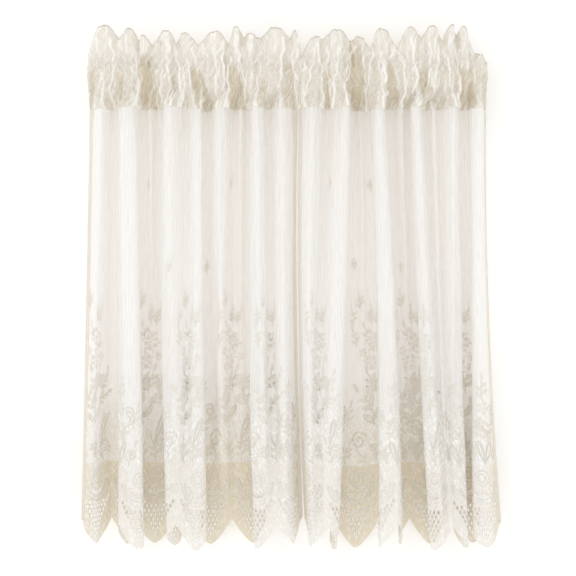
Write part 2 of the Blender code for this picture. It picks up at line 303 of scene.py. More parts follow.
class HungLace:
    """Where the points of one flat lace panel hang, and which way the cloth faces there."""

    STEP = 1.0
    ROW = 7.5

    def __init__(self, curtain, ripple):
        self.heights = np.arange(-40.0, SCALLOP_TIP - 15.0, -self.ROW)
        self.across = np.arange(0.0, CUT_WIDTH + self.STEP / 2, self.STEP)
        self.middle = np.array([self.hung_line(curtain.turns, z) for z in self.heights])
        seed = LACE_SEED[curtain.name]
        self.outer_edge = 0.0 if curtain.name == "left" else CUT_WIDTH
        fade = np.exp((self.heights - HEADING_LOW) / 150.0)[:, None]
        low_fade = 0.25 + 0.75 * np.clip(fade, 0, 1)
        wander = waves(self.heights, seed + 5, 420.0, 3)[:, None] * 7.0
        fine = waves(self.across[None, :] + wander, seed, 31.0, 6)
        broad = waves(self.across[None, :] + 0.5 * wander, seed + 1, 88.0, 4)
        out = self.facing_grid()
        swell = ripple * (fine * low_fade + 0.9 * broad * (1.1 - 0.5 * low_fade))
        self.middle[:, :, 0] += out[:, :, 0] * swell
        self.middle[:, :, 1] += out[:, :, 1] * swell
        self.out = self.facing_grid()

    def hung_line(self, turns, z):
        """The panel's line at one height, with its folds scaled to use up the cut width."""
        z = min(z, HEADING_LOW)
        places = [at_height(z, t.x_top, t.x_mid, t.x_hem) for t in turns]
        reaches = [at_height(z, t.out_top, t.out_mid, t.out_hem) for t in turns]
        growth = min(max((LEVELS[0] - z) / (LEVELS[0] - LEVELS[2]), 0.0), 1.0)
        laps = [t.lap * (TOP_LAP + (1 - TOP_LAP) * growth) for t in turns]
        xs, ys = line_through(places, reaches, laps)
        low, high = DEPTH_SCALES
        for _ in range(SCALING_TRIES):
            middle = (low + high) / 2
            if lengths_along(xs, ys * middle)[-1] > CUT_WIDTH:
                high = middle
            else:
                low = middle
        ys = ys * low
        turns_along = np.arange(len(xs)) / STEPS_PER_FOLD
        lifts = np.interp(turns_along, range(len(turns)), [t.lift for t in turns]) * growth**2
        along = lengths_along(xs, ys)
        along *= CUT_WIDTH / along[-1]
        return np.stack([np.interp(self.across, along, values) for values in (xs, ys, lifts)], axis=1)

    def facing_grid(self):
        """The direction out of the room side at every point of the grid."""
        run = np.gradient(self.middle, axis=1)
        out = np.stack((run[:, :, 1], -run[:, :, 0]), axis=2)
        return out / np.linalg.norm(out, axis=2, keepdims=True)

    def sample(self, grid, across, z):
        """A grid's values at points of the flat lace, between its four nearest ones."""
        column = np.clip(across / self.STEP, 0, len(self.across) - 1.001)
        row = np.clip((self.heights[0] - z) / self.ROW, 0, len(self.heights) - 1.001)
        c, r = column.astype(int), row.astype(int)
        fc, fr = (column - c)[:, None], (row - r)[:, None]
        upper = grid[r, c] * (1 - fc) + grid[r, c + 1] * fc
        lower = grid[r + 1, c] * (1 - fc) + grid[r + 1, c + 1] * fc
        return upper * (1 - fr) + lower * fr

    def place(self, across, z, proud=0.0):
        """Where points of the flat lace hang, moved out of the room side by a distance."""
        across, z = np.asarray(across, float), np.asarray(z, float)
        middle = self.sample(self.middle, across, z)
        out = self.sample(self.out, across, z)
        proud = np.broadcast_to(proud, across.shape)
        return np.stack(
            (middle[:, 0] + out[:, 0] * proud, middle[:, 1] + out[:, 1] * proud, z + middle[:, 2]), axis=1
        )

    def trough(self, across, z):
        """Painted shade by how far back in the folds points lie: 0 where the cloth comes forward, 1 where it
        goes back, and high in a strip at the outer hem.
        """
        across = np.asarray(across, float)
        y = self.sample(self.middle, across, np.asarray(z, float))[:, 1]
        strip = STRIP_DEPTH * soft_step(STRIP_START, STRIP_FULL, np.abs(across - self.outer_edge))
        return np.maximum(soft_step(SHADE_START_Y, FULL_SHADE_Y, y), strip)


def scallop_edge(across):
    """Height of the hem's scalloped edge at a distance across the flat lace."""
    from_tip = np.abs((across / SCALLOP_WIDTH) % 1.0 - 0.5) * 2
    eased = from_tip * (1 + NOTCH_STEEPENING * from_tip**2) / (1 + NOTCH_STEEPENING)
    rounded = np.sqrt(eased**2 + TIP_ROUNDING**2) - TIP_ROUNDING
    return SCALLOP_TIP + SCALLOP_DEPTH * rounded / (np.sqrt(1 + TIP_ROUNDING**2) - TIP_ROUNDING)


def eyelets_of_a_scallop():
    """Centres of one scallop's eyelets: staggered rows that widen from the tip, with none inside the arcs."""
    centres = []
    for row in range(EYELET_ROWS):
        z = LOWEST_EYELET + row * EYELET_ROW_STEP
        for k in range(row + 1):
            aside = (k - row / 2) * EYELET_STEP
            past_arc = np.hypot(aside / (ARC_HALF + 4), (z - MEDALLION_Z) / (ARC_DROP + 5)) > 1
            if past_arc and SCALLOP_WIDTH / 2 - abs(aside) > EYELET_TO_NOTCH:
                centres.append((SCALLOP_WIDTH / 2 + aside, z))
    return np.array(centres)


def eyelet_distance(centres, across, z, margin=0.0):
    """How far a point lies from the nearest eyelet, where 1 is that eyelet's edge with a margin round it."""
    aside = (centres[:, 0] - across) / (EYELET_HALF_WIDTH + margin)
    above = (centres[:, 1] - z) / (EYELET_HALF_HEIGHT + margin)
    return np.hypot(aside, above).min()


def ellipse(across, z, half_width, half_height, sides):
    """The outline of an ellipse on the flat lace."""
    angle = np.arange(sides) * 2 * np.pi / sides
    return np.stack((across + half_width * np.cos(angle), z + half_height * np.sin(angle)), axis=1)


def flat_scallop():
    """One scallop of the flat border as points and triangles, with its eyelets open."""
    columns = np.linspace(0.0, SCALLOP_WIDTH, COLUMNS_PER_SCALLOP + 1)
    edge = scallop_edge(columns)
    notch = edge[0]
    rows = np.arange(BORDER_TOP - BORDER_STEP, notch + BORDER_STEP / 2, -BORDER_STEP)
    outline = [(0.0, BORDER_TOP)] + [(0.0, z) for z in rows]
    outline += list(zip(columns, edge))
    outline += [(SCALLOP_WIDTH, z) for z in reversed(rows)]
    outline += [(a, BORDER_TOP) for a in reversed(columns[1:])]
    points = list(outline)
    edges = [(k, (k + 1) % len(outline)) for k in range(len(outline))]
    centres = eyelets_of_a_scallop()
    for across, z in centres:
        first = len(points)
        points.extend(ellipse(across, z, EYELET_HALF_WIDTH, EYELET_HALF_HEIGHT, EYELET_SIDES))
        edges.extend((first + k, first + (k + 1) % EYELET_SIDES) for k in range(EYELET_SIDES))
    for z in np.arange(BORDER_TOP - BORDER_STEP, SCALLOP_TIP, -BORDER_STEP):
        for across in columns[1:-1]:
            clear = eyelet_distance(centres, across, z, EYELET_MARGIN) > 1.0
            if clear and z > scallop_edge(across) + BORDER_STEP / 2:
                points.append((across, z))
    found, _, triangles, _, _, _ = delaunay_2d_cdt([Vector(p) for p in points], edges, [], 0, 1e-4)
    flat = np.array([tuple(p) for p in found])
    kept = []
    for triangle in triangles:
        across, z = flat[list(triangle)].mean(axis=0)
        if eyelet_distance(centres, across, z) > 0.95 and z > np.interp(across, columns, edge):
            kept.append(tuple(triangle))
    return flat, kept


def flat_net():
    """The whole flat net as points and faces: an even grid above the border, and ten scallops below it."""
    number, points, faces = {}, [], []

    def index(across, z):
        key = (round(float(across), 3), round(float(z), 3))
        if key not in number:
            number[key] = len(points)
            points.append(key)
        return number[key]

    columns = np.linspace(0.0, CUT_WIDTH, SCALLOPS * COLUMNS_PER_SCALLOP + 1)
    heights = np.linspace(NET_TOP, BORDER_TOP, BODY_ROWS + 1)
    grid = [[index(a, z) for a in columns] for z in heights]
    for r in range(BODY_ROWS):
        for c in range(len(columns) - 1):
            faces.append((grid[r][c], grid[r + 1][c], grid[r + 1][c + 1], grid[r][c + 1]))
    tile, triangles = flat_scallop()
    for scallop in range(SCALLOPS):
        ids = [index(a + scallop * SCALLOP_WIDTH, z) for a, z in tile]
        faces.extend(tuple(ids[k] for k in t) for t in triangles)
    return np.array(points), faces


def new_object(name, points, faces, material, uv=None, values=None):
    """A mesh object in metres. uv gives each point its place on the flat cloth, and values its shading."""
    mesh = bpy.data.meshes.new(name)
    mesh.from_pydata((np.asarray(points) * MM).tolist(), [], faces)
    corners = np.empty(len(mesh.loops), int)
    mesh.loops.foreach_get("vertex_index", corners)
    if uv is not None:
        layer = mesh.uv_layers.new(name="flat")
        layer.data.foreach_set("uv", (np.asarray(uv) * MM)[corners].ravel())
    for key, data in (values or {}).items():
        attribute = mesh.attributes.new(key, "FLOAT", "POINT")
        attribute.data.foreach_set("value", np.asarray(data, np.float32))
    mesh.materials.append(material)
    mesh.shade_smooth()
    mesh.update()
    thing = bpy.data.objects.new(name, mesh)
    bpy.context.scene.collection.objects.link(thing)
    return thing


class Relief:
    """Raised shapes on one hung lace, collected on the flat lace and hung at the end."""

    UNDER = -0.25
    OVER = 0.05
    SIDE_GAP = 0.4
    LARGE_FLOWER = 10.5
    TALLER = 1.3

    def __init__(self, lace, height):
        self.lace = lace
        self.height = height
        self.flat, self.proud, self.cord, self.faces = [], [], [], []

    def add(self, points, proud, cord):
        first = len(self.flat)
        self.flat.extend(map(tuple, points))
        self.proud.extend([proud] * len(points))
        self.cord.extend([cord] * len(points))
        return first

    def high(self, z, share):
        """The relief's height at z: low on the sheer net, and full on the dense lace near the border."""
        return self.height * share * (0.4 + 0.6 * soft_step(DENSE_TOP, DENSE_LOW, z))

    def past_sides(self, line, half_width=0.0):
        """Whether a shape would reach past the side edges of the lace."""
        near, far = line[:, 0].min(), line[:, 0].max()
        return near < self.SIDE_GAP + half_width or far > CUT_WIDTH - self.SIDE_GAP - half_width

    def patch(self, outline, height=1.0, dip=0.7):
        """A closed low shape with a raised cord just inside its edge and a sunk middle."""
        outline = np.asarray(outline, float)
        if self.past_sides(outline):
            return
        count = len(outline)
        centre = outline.mean(axis=0)
        high = self.high(centre[1], height)
        rings = ((1.0, self.OVER, 0.85), (0.8, high, 0.3), (0.58, high * dip, 0.0))
        firsts = [self.add(centre + (outline - centre) * scale, proud, cord) for scale, proud, cord in rings]
        top = self.add([centre], high * dip * 1.1, 0.0)
        under = self.add([centre], self.UNDER, 0.0)
        for k in range(count):
            n = (k + 1) % count
            for outer, inner in zip(firsts, firsts[1:]):
                self.faces.append((outer + k, outer + n, inner + n, inner + k))
            self.faces.append((firsts[-1] + k, firsts[-1] + n, top))
            self.faces.append((firsts[0] + n, firsts[0] + k, under))

    def ribbon(self, line, width, height=1.0, closed=False, cord=0.2):
        """A cord that runs along a line on the flat lace."""
        line = np.asarray(line, float)
        if self.past_sides(line, width / 2):
            return
        if closed:
            run = np.roll(line, -1, axis=0) - np.roll(line, 1, axis=0)
        else:
            run = np.gradient(line, axis=0)
        side = np.stack((-run[:, 1], run[:, 0]), axis=1)
        side /= np.maximum(np.linalg.norm(side, axis=1, keepdims=True), 1e-9)
        high = self.high(line[:, 1].mean(), height)
        first = [
            self.add(line + side * width / 2, self.OVER, cord),
            self.add(line, high, cord),
            self.add(line - side * width / 2, self.OVER, cord),
            self.add(line, self.UNDER, cord),
        ]
        last = len(line) if closed else len(line) - 1
        for k in range(last):
            n = (k + 1) % len(line)
            for a, b in zip(first, first[1:] + first[:1]):
                self.faces.append((a + k, b + k, b + n, a + n))
        if not closed:
            self.faces.append(tuple(reversed(first)))
            self.faces.append(tuple(f + last for f in first))

    def grow(self, root, along, sideways, angle, height):
        """A patch that grows from its root at an angle from upright. Its outline runs along and sideways."""
        up = np.array((np.sin(angle), np.cos(angle)))
        right = np.array((np.cos(angle), -np.sin(angle)))
        outline = np.array(root) + along[:, None] * up + sideways[:, None] * right
        self.patch(outline[::-1], height)

    def leaf(self, across, z, length, width, angle, height=1.0):
        """A pointed leaf."""
        t = np.array((0.0, 0.18, 0.42, 0.68, 0.88, 1.0))
        half = np.array((0.06, 0.34, 0.5, 0.40, 0.18, 0.0)) * width
        along = np.concatenate((t, t[-2::-1])) * length
        self.grow((across, z), along, np.concatenate((half, -half[-2::-1])), angle, height)

    def petal(self, across, z, length, width, angle, height=1.0):
        """A round petal."""
        turn = np.arange(8) * np.pi / 4
        reach = length / 2
        bulge = 1 + 0.18 * np.cos(turn)
        self.grow((across, z), reach + reach * np.cos(turn), width / 2 * np.sin(turn) * bulge, angle, height)

    def flower(self, across, z, radius, petals, turn):
        """An open flower: round petals about a small ring, and leaves round a large one."""

        def out(share, angle):
            """The point at a share of the radius, at an angle from upright."""
            return across + share * radius * np.sin(angle), z + share * radius * self.TALLER * np.cos(angle)

        for k in range(petals):
            angle = turn + k * 2 * np.pi / petals
            length = radius * 0.68 * (1 + (self.TALLER - 1) * np.cos(angle) ** 2)
            self.petal(*out(0.3, angle), length, radius * 3.7 / petals, angle, 1.05)
            if radius > self.LARGE_FLOWER:
                between = angle + np.pi / petals
                self.leaf(*out(0.86, between), radius * 0.6, radius * 0.36, between)
        self.patch(ellipse(across, z, radius * 0.22, radius * 0.22, 6), 1.3, 0.9)

    def twig(self, twig, middle):
        """A stem with pairs of leaves and one leaf on its tip."""
        start = np.array((middle + twig.across, twig.height))
        end = np.array((middle + twig.tip_across, twig.tip_height))
        run = end - start
        length = np.hypot(*run)
        side = np.array((-run[1], run[0])) / length
        t = np.linspace(0.0, 1.0, max(4, int(length / 9)))
        line = start + t[:, None] * run + (np.sin(np.pi * t) * twig.bend)[:, None] * side
        self.ribbon(line, 1.5, 0.8)
        heading = np.arctan2(run[0], run[1])
        for k in range(twig.pairs):
            share = 0.22 + 0.66 * k / twig.pairs
            root = start + share * run + np.sin(np.pi * share) * twig.bend * side
            size = twig.leaf * (1.22 - 0.35 * share)
            for way in (-1, 1):
                step = run / length * (way * 0.18 * twig.leaf)
                self.leaf(root[0] + step[0], root[1] + step[1], size, size * 0.46, heading + way * 0.78)
        self.leaf(end[0], end[1] - 1, twig.leaf, twig.leaf * 0.42, heading)

    def scroll(self, scroll, middle):
        """A C-scroll that curls in to a small knob."""
        steps = np.linspace(0.0, 1.0, 22)
        angle = scroll.start + steps * scroll.turns * 2 * np.pi
        radius = scroll.radius * (1 - 0.78 * steps)
        centre = np.array((middle + scroll.across, scroll.height))
        line = centre + np.stack((radius * np.cos(angle), radius * 1.25 * np.sin(angle)), axis=1)
        self.ribbon(line, 3.4, 1.2)
        self.patch(ellipse(line[-1, 0], line[-1, 1], 2.6, 3.0, 8), 1.4, 0.9)

    def loop(self, loop, middle):
        """A long teardrop loop, open in its middle, with a second cord inside it."""
        start = np.array((middle + loop.across, loop.height))
        run = np.array((middle + loop.tip_across, loop.tip_height)) - start
        length = np.hypot(*run)
        side = np.array((run[1], -run[0])) / length
        t = np.linspace(0.0, 1.0, 26, endpoint=False)
        for scale in (1.0, 0.58):
            along = (1 - np.cos(2 * np.pi * t)) / 2
            wide = np.sin(2 * np.pi * t) * along**0.7 * loop.width / 2 * scale
            line = start + (0.5 + (along - 0.5) * (0.5 + scale / 2))[:, None] * run + wide[:, None] * side
            self.ribbon(line, 2.0 * scale + 0.4, 1.1, closed=True)

    def bud(self, across, z):
        """A rosebud: a diamond of small outlined petals."""
        self.leaf(across, z + 2, 10, 4.2, 0.0, 0.7)
        self.leaf(across, z - 2, 10, 4.2, np.pi, 0.7)
        for way in (-1, 1):
            self.leaf(across + way * 0.6, z - 5, 11, 3.8, way * 0.42, 0.7)
            self.leaf(across + way * 0.6, z + 5, 10, 3.4, np.pi - way * 0.42, 0.7)

    def finish(self, name, material):
        flat = np.array(self.flat)
        points = self.lace.place(flat[:, 0], flat[:, 1], np.array(self.proud))
        # The raised shapes take the lace's painted shade at their places, and the share of a cord's paler
        # colour
        values = {"trough": self.lace.trough(flat[:, 0], flat[:, 1]), "cord": self.cord}
        return new_object(name, points, self.faces, material, flat, values)


def raise_sprays(relief, name):
    """The flower sprays, the garlands between them and the scattered buds."""
    for motif, places in ((SPRAY, SPRAYS[name]), (GARLAND, GARLANDS[name])):
        for middle in places:
            for twig in motif.twigs:
                relief.twig(twig, middle)
            for flower in motif.flowers:
                relief.flower(middle + flower.across, *flower[1:])
            for scroll in motif.scrolls:
                relief.scroll(scroll, middle)
            for loop in motif.loops:
                relief.loop(loop, middle)
    for across, z in BUDS[name]:
        relief.bud(across, z)


def raise_border(relief, name):
    """The rim, and in each scallop a medallion, shell arcs with leaves above them, and the eyelets' rings."""
    edge = np.arange(1.9, CUT_WIDTH - 1.9, SCALLOP_WIDTH / 24)
    relief.ribbon(np.stack((edge, scallop_edge(edge) + 1.6), axis=1), 3.4, 0.7, cord=0.0)
    for scallop in range(SCALLOPS):
        left = scallop * SCALLOP_WIDTH
        middle = left + SCALLOP_WIDTH / 2
        turn = np.linspace(np.pi, 2 * np.pi, 19)
        arcs = ((26.0, 30.5, 3.4, 0.8), (ARC_HALF - 0.8, ARC_DROP - 0.8, 3.0, 0.8))
        for radius, drop, width, cord in arcs:
            line = np.stack((middle + radius * np.cos(turn), MEDALLION_Z + drop * np.sin(turn)), axis=1)
            relief.ribbon(line, width, 0.3, cord=cord)
        relief.ribbon(ellipse(middle, MEDALLION_Z + 8, 12, 13.5, 20), 2.6, 0.25, closed=True, cord=0.7)
        relief.ribbon(ellipse(middle, MEDALLION_Z + 8, 6, 7, 14), 2.4, 0.2, closed=True, cord=0.6)
        for k in range(7):
            angle = np.pi + (k + 1) * np.pi / 8
            start = (middle + 14 * np.cos(angle), MEDALLION_Z + 14 * np.sin(angle))
            relief.leaf(start[0], start[1], 9, 4.4, np.pi / 2 - angle, 0.5)
        for across, z in eyelets_of_a_scallop():
            ring = ellipse(left + across, z, EYELET_HALF_WIDTH + 0.4, EYELET_HALF_HEIGHT + 0.4, EYELET_SIDES)
            relief.ribbon(ring, 1.4, 0.45, closed=True, cord=0.5)


# Heading: rows of the doubled cloth from the ruffle's top down to its lower edge
RUFFLE_ROWS = 20
POCKET_ROWS = 16
FLAP_ROWS = 12
HEADING_COLUMNS = 700
CLOTH_GAP = 0.9
PLEAT_HEIGHT = 1.1
LOBE_ROUNDING = 2.0

# A gather of the heading: its X in the ruffle, at the pocket's top and foot and at the lower edge, the height
# where it starts, and how far it stands out
Gather = namedtuple("Gather", "x_ruffle x_up x_low x_hem top out")
GATHERS = (
    Gather(-322, -330, -327, -327, 5, 2.4), Gather(-314, -306, -315, -311, 60, 3.2),
    Gather(-305, -308, -309, -302, 20, 2.0), Gather(-275, -268, -265, -269, 40, 3.2),
    Gather(-250, -243, -237, -232, 30, 2.2), Gather(-222, -223, -226, -229, 8, 2.2),
    Gather(-216, -214, -208, -207, 30, 2.6), Gather(-203, -195, -191, -195, 50, 2.8),
    Gather(-176, -181, -186, -191, 8, 2.8), Gather(-184, -178, -172, -166, 22, 2.8),
    Gather(-172, -164, -156, -154, 45, 2.2), Gather(-128, -129, -129, -128, 24, 2.8),
    Gather(-118, -117, -114, -112, 55, 2.4), Gather(-104, -107, -109, -109, 30, 3.2),
    Gather(-95, -85, -79, -77, 62, 3.4), Gather(-48, -51, -58, -60, 12, 3.2),
    Gather(-12, -15, -18, -18, 66, 3.0), Gather(2, 5, 10, 14, 40, 2.4),
    Gather(42, 40, 29, 25, 20, 3.0), Gather(52, 54, 56, 57, 26, 2.8), Gather(66, 64, 70, 74, 50, 2.0),
    Gather(88, 82, 77, 76, 46, 2.6), Gather(110, 106, 97, 99, 55, 3.4), Gather(146, 141, 135, 134, 40, 2.8),
    Gather(160, 160, 162, 163, 40, 2.2), Gather(190, 198, 202, 196, 30, 2.8),
    Gather(214, 219, 223, 223, 60, 3.0), Gather(245, 246, 240, 236, 55, 2.0),
    Gather(262, 258, 252, 249, 50, 2.6), Gather(272, 277, 281, 291, 30, 2.8),
    Gather(290, 294, 297, 294, 50, 2.8), Gather(318, 320, 324, 327, 10, 1.6),
)
# A flat place between the gathers, with painted shade: its sides at the top and at the foot, its two heights,
# and how deep its shade is
Hollow = namedtuple("Hollow", "left_up right_up left_low right_low top foot depth")
SHADED_FLATS = (
    Hollow(-264, -243, -262, -227, 34, -62, 1.0), Hollow(-174, -158, -166, -132, 6, -60, 1.0),
    Hollow(-106, -94, -106, -70, 14, -60, 0.9), Hollow(-352, -338, -352, -344, 6, -32, 0.7),
    Hollow(-306, -292, -300, -282, 0, -58, 0.5), Hollow(-212, -202, -212, -196, 0, -60, 0.4),
    Hollow(-58, -46, -56, -32, -8, -58, 0.35), Hollow(-10, 3, -14, 12, 20, -60, 0.55),
    Hollow(58, 70, 60, 76, 4, -62, 0.6), Hollow(105, 122, 98, 136, 60, -60, 1.0),
    Hollow(170, 178, 168, 198, 20, -62, 0.7), Hollow(226, 240, 232, 262, 6, -58, 0.6),
    Hollow(299, 318, 299, 330, 6, -62, 1.0), Hollow(334, 348, 338, 350, 0, -70, 0.6),
)


def ruffle_line(lobes):
    """The line of the ruffle's top from above: lobes come forward, and notches go back."""
    places = [lobe.x for lobe in lobes]
    signs = [0.0] + [1.0 if i % 2 else -1.0 for i in range(1, len(lobes) - 1)] + [0.0]
    xs, ys = line_through(places, [sign * RUFFLE_REACH for sign in signs], [0.0] * len(lobes))
    return lengths_along(xs, ys), xs, ys


def ruffle_top(lobes, x):
    """Height of the ruffle's top edge at x: round on the lobes and sharp in the notches."""
    for i in range(1, len(lobes)):
        a, b = lobes[i - 1], lobes[i]
        if x <= b.x or i == len(lobes) - 1:
            high, low = (b, a) if i % 2 else (a, b)
            share = min(max((x - high.x) / (low.x - high.x), 0.0), 1.0)
            return low.top + (high.top - low.top) * (1 - share**LOBE_ROUNDING)


def ruffle_tops(curtain, x):
    """Heights of the ruffle's top edge at places x, with its small waves."""
    lobes = np.array([ruffle_top(curtain.lobes, value) for value in x])
    return lobes + 0.9 * waves(x, len(curtain.name), 19.0, 3)


def ridges(values, seed, longest, count):
    """Thin sharp ridges at irregular places, between 0 and 1."""
    return np.clip(1 - 3.0 * np.abs(waves(values, seed, longest, count)), 0.0, 1.0) ** 1.3


def gather_lines(x, z):
    """How near places (x, z) are to the gathers' lines, from 0 to the gather's height."""
    total = np.zeros_like(x)
    for k, gather in enumerate(GATHERS):
        bends = (gather.x_hem, gather.x_low, gather.x_up, gather.x_ruffle)
        line = np.interp(z, (HEADING_LOW, -22.0, 14.0, 50.0), bends) + 1.5 * waves(z, k, 46.0, 2)
        away = np.abs(x - line) / (1.4 + 0.016 * np.abs(z))
        lower = soft_step(gather.top + 10, gather.top - 6, z)
        total = np.maximum(total, gather.out * np.exp(-(away**1.7)) * lower)
    return total


def creases(curtain, x, z, seed):
    """Fine creases of the heading: upright ones below, and ones that fan out from each lobe's foot above."""
    lobes = np.array([lobe.x for lobe in curtain.lobes[1::2]])
    nearest = lobes[np.argmin(np.abs(x[..., None] - lobes), axis=-1)]
    fan = (x - nearest) / np.maximum(z - 2.0, 9.0) * 46.0 + nearest
    above = soft_step(16.0, 34.0, z)
    wander = waves(z + 0.3 * x, seed + 2, 62.0, 3) * 4.0
    upright = ridges(x + wander, seed, 24.0, 4)
    slanted = ridges(x - 0.4 * z + wander, seed + 1, 38.0, 3)
    fanned = ridges(fan + 0.5 * wander, seed + 3, 34.0, 4)
    patchy = np.clip(0.7 + 0.5 * waves(x * 0.9 + z * 1.3, seed + 4, 60.0, 4), 0.15, 1.0)
    return (upright * (1 - above) + fanned * above + 0.6 * slanted) * patchy


def pleats(x, z, seed):
    """The fine pleats of the gathered cloth, which both walls of the heading share."""
    drift = x + 3.5 * waves(z + 0.2 * x, seed + 6, 44.0, 3)
    patchy = 0.75 + 0.35 * waves(z * 1.2 + x * 0.5, seed + 8, 33.0, 3)
    return waves(drift, seed + 7, 13.0, 3) * patchy * (1.0 - 0.35 * soft_step(18.0, 45.0, z))


def gather_relief(curtain, x, z, seed):
    """How far the gathers and creases of a heading stand out at places (x, z)."""
    near_seam = np.exp(-np.abs(np.abs(z) - POCKET_SEAM) / 10.0)
    return gather_lines(x, z) + 2.2 * creases(curtain, x, z, seed) * (0.75 + 0.4 * near_seam)


def flatter(swing):
    """A swing between -1 and 1 with broader ends and a steeper middle."""
    return swing * (1.5 - 0.5 * swing * swing)


def flat_shade_depth(x, z):
    """How deep the painted shade is at places (x, z), from 0 on the gathers to 1 in the deepest flat place.
    """
    total = np.zeros_like(x)
    for h in SHADED_FLATS:
        share = np.clip((h.top - z) / (h.top - h.foot), 0.0, 1.0)
        left = h.left_up + (h.left_low - h.left_up) * share
        right = h.right_up + (h.right_low - h.right_up) * share
        inside = soft_step(left - 2.5, left + 2.5, x) * soft_step(right + 2.5, right - 2.5, x)
        total = np.maximum(total, inside * soft_step(h.top + 9, h.top - 9, z) * h.depth)
    return total


def heading_grid(curtain, lace):
    """Points of the heading's front and back walls, row by row from the top, and their places when flat."""
    along, xs, ys = ruffle_line(curtain.lobes)
    fractions = np.linspace(0.0, 1.0, HEADING_COLUMNS + 1)
    at = fractions * along[-1]
    x = np.interp(at, along, xs)
    swing = flatter(flatter(-np.interp(at, along, ys) / RUFFLE_REACH))
    y = -swing * RUFFLE_REACH * (0.86 + 0.14 * waves(x, len(curtain.lobes), 90.0, 3))
    tops = ruffle_tops(curtain, x)
    seam_y = SEAM_Y - swing * SEAM_REACH
    hem = lace.place(fractions * CUT_WIDTH, np.full(len(fractions), HEADING_LOW))
    seed = HEADING_SEED[curtain.name]
    hem_z = HEADING_LOW - 1.5 + 1.8 * waves(x, seed + 9, 190.0, 3)
    walls = []
    for sign in (-1.0, 1.0):
        rows, drops, length = [], [], 0.0
        for k in range(RUFFLE_ROWS):
            share = k / RUFFLE_ROWS
            z = POCKET_SEAM + (tops - POCKET_SEAM) * (1 - share)
            lean = (1 - share) ** 1.25
            bell = CLOTH_GAP * min(1.0, 0.15 + 4 * share)
            rows.append(np.stack((x, y * lean + seam_y * (1 - lean) + sign * bell, z), axis=1))
            drops.append(share * RUFFLE_CUT)
        for k in range(POCKET_ROWS):
            from_middle = 1 - 2 * k / POCKET_ROWS
            z = np.full_like(x, POCKET_SEAM * from_middle)
            open_share = 1 - abs(from_middle) ** POCKET_ROUNDING
            wall = POCKET_FRONT if sign < 0 else POCKET_BACK
            depth = (wall + SEAM_REACH * (1 - sign * swing)) * open_share
            rows.append(np.stack((x, seam_y * (1 - open_share) + sign * (depth + CLOTH_GAP), z), axis=1))
            drops.append(RUFFLE_CUT + POCKET_CUT * k / POCKET_ROWS)
        for k in range(FLAP_ROWS + 1):
            share = k / FLAP_ROWS
            eased = share * share * (3 - 2 * share)
            px = x + (hem[:, 0] - x) * eased
            py = seam_y + (hem[:, 1] - seam_y) * eased + sign * CLOTH_GAP
            rows.append(np.stack((px, py, -POCKET_SEAM + (hem_z + POCKET_SEAM) * share), axis=1))
            drops.append(RUFFLE_CUT + POCKET_CUT + TURNING_CUT * share)
        grid = np.array(rows)
        down = np.gradient(grid, axis=0)
        right = np.gradient(grid, axis=1)
        out = np.cross(right, down)
        out /= np.maximum(np.linalg.norm(out, axis=2, keepdims=True), 1e-9)
        out *= sign * np.sign(np.median(out[:, :, 1]))
        across, height = grid[:, :, 0], grid[:, :, 2]
        crinkle = gather_relief(curtain, across, height, seed + (0 if sign < 0 else 3))
        crinkle -= sign * PLEAT_HEIGHT * pleats(across, height, seed)
        calm = np.ones(len(rows))
        calm[:3] = (0.15, 0.45, 0.75)
        calm[-3:] = (0.8, 0.6, 0.45)
        grid = grid + out * (crinkle * calm[:, None])[:, :, None]
        walls.append((grid, np.array(drops)))
    return walls, fractions


def make_heading(curtain, lace, material):
    """The heading as one length of cloth that runs up its front, over the ruffle's top and down its back."""
    walls, fractions = heading_grid(curtain, lace)
    (front, drops), (back, _) = walls
    grid = np.concatenate((front[::-1], back[1:]))
    down = np.concatenate((drops[::-1], -drops[1:]))
    rows, columns = grid.shape[:2]
    faces = []
    for r in range(rows - 1):
        for c in range(columns - 1):
            a = r * columns + c
            faces.append((a, a + 1, a + columns + 1, a + columns))
    uv = np.stack(np.broadcast_arrays(fractions[None, :] * CUT_WIDTH, down[:, None]), axis=2).reshape(-1, 2)
    seed = HEADING_SEED[curtain.name]
    x, z = grid[:, :, 0], grid[:, :, 2]
    tops = ruffle_tops(curtain, x[rows // 2])
    rim = soft_step(3.2, 0.8, tops[None, :] - z)
    seam = np.exp(-(((np.abs(z) - POCKET_SEAM) / 3.5) ** 2))
    # Painted highlights: paler on the gathers' ridges, on the creases and on the forward sides of the pleats.
    # The ruffle's upper part is paler too, as its cloth is less dense. Along the seams the cloth is paler,
    # partly as it is thicker there and partly as painted light that offsets the shade in the seams' grooves
    crest = np.clip(gather_lines(x, z) / 2.2, 0.0, 1.0) ** 1.5 + 1.3 * creases(curtain, x, z, seed)
    crest += 0.22 * np.clip(pleats(x, z, seed), -1.0, 1.0) + 0.28 * soft_step(24.0, 44.0, z) + 0.2 * seam
    # Painted shade in the flat places between the gathers, halved towards the flap's foot. The cloth below
    # the ruffle is a little deeper in colour, and so is the cloth along the ruffle's top edge, which has no
    # painted highlight
    hollow = flat_shade_depth(x, z) * (0.5 + 0.5 * soft_step(-58.0, -24.0, z)) + 0.12 * soft_step(30.0, 8.0, z)
    crest = crest * (1 - rim) * (1 - 0.5 * hollow)
    hollow = hollow + 0.75 * rim
    values = {"crest": np.clip(crest, 0.0, 1.0).ravel(), "hollow": np.clip(hollow, 0.0, 1.0).ravel()}
    return new_object(curtain.name + "_heading_cloth", grid.reshape(-1, 3), faces, material, uv, values)


def make_net(curtain, lace, material, flat, faces):
    """The sheer net of one curtain on its folds."""
    points = lace.place(flat[:, 0], flat[:, 1])
    # The net takes painted shade where it goes back into the folds
    values = {"trough": lace.trough(flat[:, 0], flat[:, 1])}
    return new_object(curtain.name + "_net", points, faces, material, flat, values)


